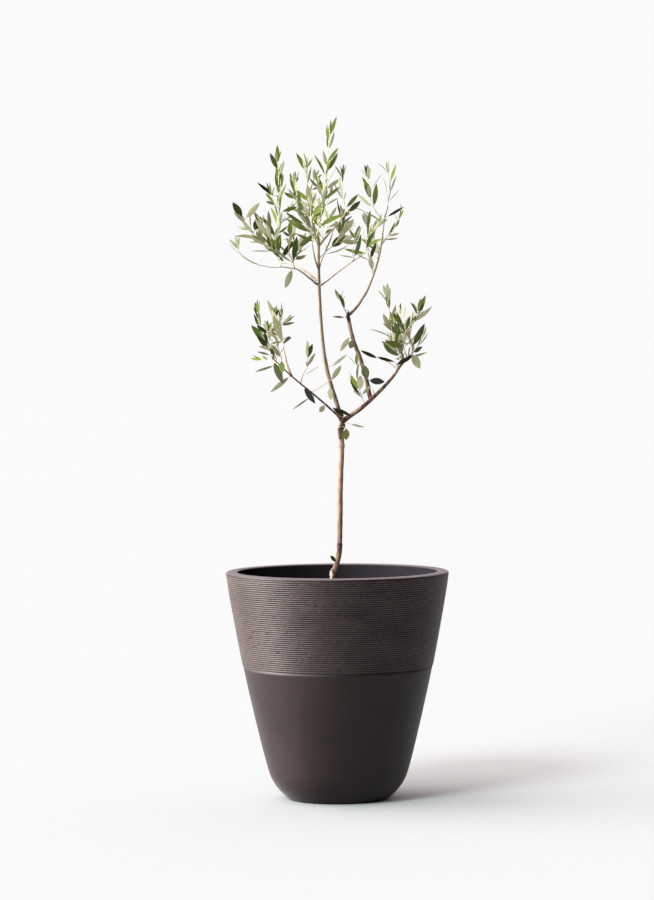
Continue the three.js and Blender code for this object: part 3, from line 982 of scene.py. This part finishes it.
class Foliage:
    """The joined leaf meshes, one for each tint, and the joined twigs."""

    def __init__(self):
        self.leaves = {name: Builder() for name in TINTS}
        self.green = Builder()
        self.woody = Builder()

    def twig(self, path, thick, thin, woody):
        builder = self.woody if woody else self.green
        tube(builder, path, taper(thick, thin), 6)

    def leaf(self, rng, foot, direction, up, length, tint, slim):
        stalk_end = foot + direction * LEAF["stalk"]
        self.twig([foot, stalk_end], *LEAF["stalk_radii"], False)
        bend = rng.gauss(*LEAF["bend"])
        fold = rng.uniform(*LEAF["fold"])
        add_leaf(self.leaves[tint], stalk_end, direction, up, length, length * slim, bend, fold)


def draw_tint(rng, youth):
    """Tint of one leaf: its spray's age sets the middle, and neighbours vary a little."""
    last = len(TINTS) - 1
    place = round(youth * last + rng.gauss(0, 0.7))
    return list(TINTS)[max(0, min(last, place))]


def leaf_pair(foliage, rng, foot, tangent, azimuth, spread, length, youth):
    """Two leaves on opposite sides of a twig; either may be missing."""
    side = tangent.orthogonal().normalized()
    for turn in (0.0, math.pi):
        if rng.random() < SHOOT["missing"]:
            continue
        angle = azimuth + turn + rng.gauss(0, 0.45)
        out = (Matrix.Rotation(angle, 3, tangent) @ side).normalized()
        lean = max(SHOOT["least_lean"], spread + rng.gauss(0, 0.27))
        direction = (tangent * math.cos(lean) + out * math.sin(lean)).normalized()
        up = (tangent * math.sin(lean) - out * math.cos(lean)).normalized()
        up = Matrix.Rotation(rng.gauss(0, 0.7), 3, direction) @ up
        old, young = LEAF["old_slimness"], LEAF["young_slimness"]
        slim = rng.uniform(*old) * (1 - youth) + rng.uniform(*young) * youth
        size = length * rng.uniform(0.7, 1.15)
        foliage.leaf(rng, foot, direction, up, size, draw_tint(rng, youth), slim)


def grow_shoot(foliage, rng, path, reach, youth, thick, depth=0, bare=None):
    """A leafy shoot: crosswise pairs of leaves up a twig, smaller and steeper to the tip."""
    total = lengths_along(path)[-1]
    woody = depth == 0 and youth < SHOOT["woody_until"]
    foliage.twig(path, thick, SHOOT["tip_radius"], woody)
    azimuth = rng.uniform(0, math.pi)
    distance = bare or SHOOT["first"] * (1.0 if depth == 0 else 0.6)
    full = min(LEAF["longest"], 9 * MM + reach * 1.6)
    while distance < total - 2 * MM:
        share = distance / total
        foot, tangent = place_on(path, distance)
        spread = 0.74 - 0.34 * share
        length = max(LEAF["shortest"], full * (1.0 - 0.32 * share**2))
        leaf_pair(foliage, rng, foot, tangent, azimuth, spread, length, min(1.0, youth + 0.3 * share))
        may_branch = depth == 0 and reach >= SHOOT["side_reach"] and 0.1 < share < 0.75
        if may_branch and rng.random() < SHOOT["side_chance"]:
            out = Matrix.Rotation(azimuth + math.pi / 2, 3, tangent) @ tangent.orthogonal().normalized()
            way = (tangent * 0.85 + out * 0.55).normalized()
            end = foot + way * reach * 1.2
            side_path = catmull([foot, foot.lerp(end, 0.5) + out * 2 * MM, end], 6 * MM)
            grow_shoot(foliage, rng, side_path, reach * 0.62, youth, thick * 0.6, depth + 1)
        azimuth += math.pi / 2 + rng.gauss(0, 0.2)
        distance += SHOOT["internode"] * rng.uniform(0.8, 1.2) * (1.12 - 0.35 * share)
    foot, tangent = place_on(path, total)
    for _ in range(2):
        tip_youth = min(1.0, youth + 0.35)
        leaf_pair(foliage, rng, foot, tangent, azimuth, SHOOT["tip_lean"], SHOOT["tip_leaf"], tip_youth)
        azimuth += math.pi / 2


def mass_nodes():
    """Names of the CAD's masses of foliage."""
    return sorted(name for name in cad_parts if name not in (*LIMBS, "pot", "soil"))


def grow_mass(foliage, rng, name, placed):
    """Grows the shoot of one leafy mass of the CAD; returns its path."""
    points, radii = spine_of(name, 9)
    gaps = [(nearest_on(placed, end) - end).length for end in (points[0], points[-1])]
    if gaps[1] < gaps[0]:
        points.reverse()
    *centres, tip = points[1:]
    foot = nearest_on(placed, centres[0])
    reach = max(radii)
    retreat = min(SHOOT["tip_leaf"] * 1.15 + LEAF["stalk"] + 3 * MM, (tip - centres[0]).length * 0.45)
    top = tip + (centres[-2] - tip).normalized() * retreat
    inside = [c for c in centres[1:-1:2] if (c - tip).length > retreat + 8 * MM]
    path = catmull([foot, *inside, top], 5 * MM)
    # Higher sprays draw paler tints: younger growth, and partly painted light on the upper crown.
    height_share = max(0.0, (tip.z / cad_box[1].z - 0.7) / 0.3)
    youth = YOUTH["foot"] + YOUTH["rise"] * height_share + rng.gauss(0, 0.13)
    youth = max(0.0, min(1.0, youth))
    grow_shoot(foliage, rng, path, reach, youth, SHOOT["base_radius"], bare=BARE_FEET.get(name))
    return path


def add_bare_twigs(foliage, paths):
    """The twigs without leaves that stand out from the limbs."""
    for limb, share, points, radius in BARE_TWIGS:
        path = paths[limb]
        foot, _ = place_on(path, lengths_along(path)[-1] * share)
        route = [foot, *(foot + Vector(point) * MM for point in points)]
        foliage.twig(catmull(route, 4 * MM), radius * MM, 0.6 * radius * MM, True)


def add_loose_leaves(foliage, rng, paths):
    """The single leaves that hang off the limbs, each on its own little stem."""
    for limb, share, stem, blade, width, tint, shows in LOOSE_LEAVES:
        path = paths[limb]
        foot, _ = place_on(path, lengths_along(path)[-1] * share)
        joint = foot + Vector(stem) * MM
        sag = foot.lerp(joint, 0.5) + Vector((0, 0, 1)) * (joint - foot).length * 0.08
        foliage.twig(catmull([foot, sag, joint], 4 * MM), 0.7 * MM, 0.45 * MM, True)
        direction = Vector(blade).normalized()
        front = Vector((0, -1, 0.12)) * (1 if shows == "upper" else -1)
        up = (front - direction * front.dot(direction)).normalized()
        up = Matrix.Rotation(rng.gauss(0, 0.2), 3, direction) @ up
        length = Vector(blade).length * MM
        bend = rng.gauss(0.15, 0.12)
        add_leaf(foliage.leaves[tint], joint, direction, up, length, width * MM, bend, 0.22)


def build_foliage(placed):
    """Grows every leaf and twig; returns the pieces that hold the leaves."""
    foliage = Foliage()
    paths = dict(placed)
    for order, name in enumerate(mass_nodes()):
        if name not in SINGLE_LEAF_MASSES:
            paths[name] = grow_mass(foliage, random.Random(SEED + order * 7), name, placed)
    add_loose_leaves(foliage, random.Random(SEED), paths)
    add_bare_twigs(foliage, paths)
    pieces = []
    for tint, (upper, lower) in TINTS.items():
        top = plain_material("leaf_upper_" + tint, upper, *LEAF_FINISH["upper"])
        below = plain_material("leaf_under_" + tint, lower, *LEAF_FINISH["under"])
        piece = foliage.leaves[tint].build("leaves_" + tint, [top, below])
        pieces.append(finish_piece(piece))
    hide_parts(*mass_nodes())
    for name, builder in (("twigs_green", foliage.green), ("twigs_woody", foliage.woody)):
        finish_piece(builder.build(name, [plain_material(name, TWIG_TINTS[name], 0.7)]))
    return pieces


# ---- stage


def build_stage():
    """A wide pale floor that reaches the horizon on every side."""
    reach = 60.0
    verts = [(x * reach, y * reach, 0.0) for x, y in ((-1, -1), (1, -1), (1, 1), (-1, 1))]
    builder = Builder()
    builder.add(verts, [(0, 1, 2, 3)])
    floor = builder.build("floor", [plain_material("pale_floor", FLOOR_COLOR, 0.95)])
    return floor


def add_sun(name, sun):
    data = bpy.data.lights.new(name, "SUN")
    data.energy = sun["energy"]
    data.angle = math.radians(sun["width_deg"])
    data.color = sun["color"]
    lamp = new_object(name, data)
    lamp.rotation_euler = Vector(sun["from"]).to_track_quat("Z", "Y").to_euler()
    return lamp


def flag_off(lamp, shaded):
    """Keeps a lamp's light off these objects."""
    group = bpy.data.collections.new(lamp.name + "_flagged_off")
    for piece in shaded:
        group.objects.link(piece)
    for entry in group.collection_objects:
        entry.light_linking.link_state = "EXCLUDE"
    lamp.light_linking.receiver_collection = group


def build_studio():
    """A plain white studio that falls off to a dim side and is warm overhead."""
    world = bpy.data.worlds.new("studio")
    world.use_nodes = True
    tree = world.node_tree
    where = tree.nodes.new("ShaderNodeTexCoord")
    along = tree.nodes.new("ShaderNodeVectorMath")
    along.operation = "DOT_PRODUCT"
    along.inputs[1].default_value = STUDIO["white_side"]
    background = tree.nodes["Background"]
    tree.links.new(where.outputs["Generated"], along.inputs[0])
    levels = (STUDIO["dim"], STUDIO["white"])
    strength = map_range(tree, along.outputs["Value"], (-1.0, STUDIO["white_from"]), levels)
    tree.links.new(strength, background.inputs["Strength"])
    parts = tree.nodes.new("ShaderNodeSeparateXYZ")
    tree.links.new(where.outputs["Generated"], parts.inputs["Vector"])
    overhead = map_range(tree, parts.outputs["Z"], (WARM_CEILING["from"], WARM_CEILING["to"]))
    color = mix_colors(tree, overhead, (1, 1, 1, 1), (*WARM_CEILING["color"], 1))
    tree.links.new(color, background.inputs["Color"])
    bpy.context.scene.world = world
    bpy.context.scene.view_settings.view_transform = "Standard"


def build_camera():
    data = bpy.data.cameras.new("camera")
    data.lens = CAMERA["lens"]
    data.sensor_width = CAMERA["sensor"]
    data.clip_end = 60
    camera = new_object("camera", data)
    pitch = Matrix.Rotation(math.radians(90 - CAMERA["pitch_deg"]), 4, "X")
    roll = Matrix.Rotation(math.radians(-CAMERA["roll_deg"]), 4, "Z")
    camera.matrix_world = Matrix.Translation(CAMERA["place"]) @ pitch @ roll
    bpy.context.scene.camera = camera


# ---- main

build_camera()
ground = build_stage()
lamps = {name: add_sun(name, sun) for name, sun in SUNS.items()}
build_studio()
rim = build_pot()
build_soil()
bark = {kind: bark_material(kind) for kind in BARK_STOPS}
limbs = build_limbs(bark)
leaves = build_foliage(limbs)
flag_off(lamps["side"], [ground, rim])
flag_off(lamps["low_side"], [ground, rim, *leaves])
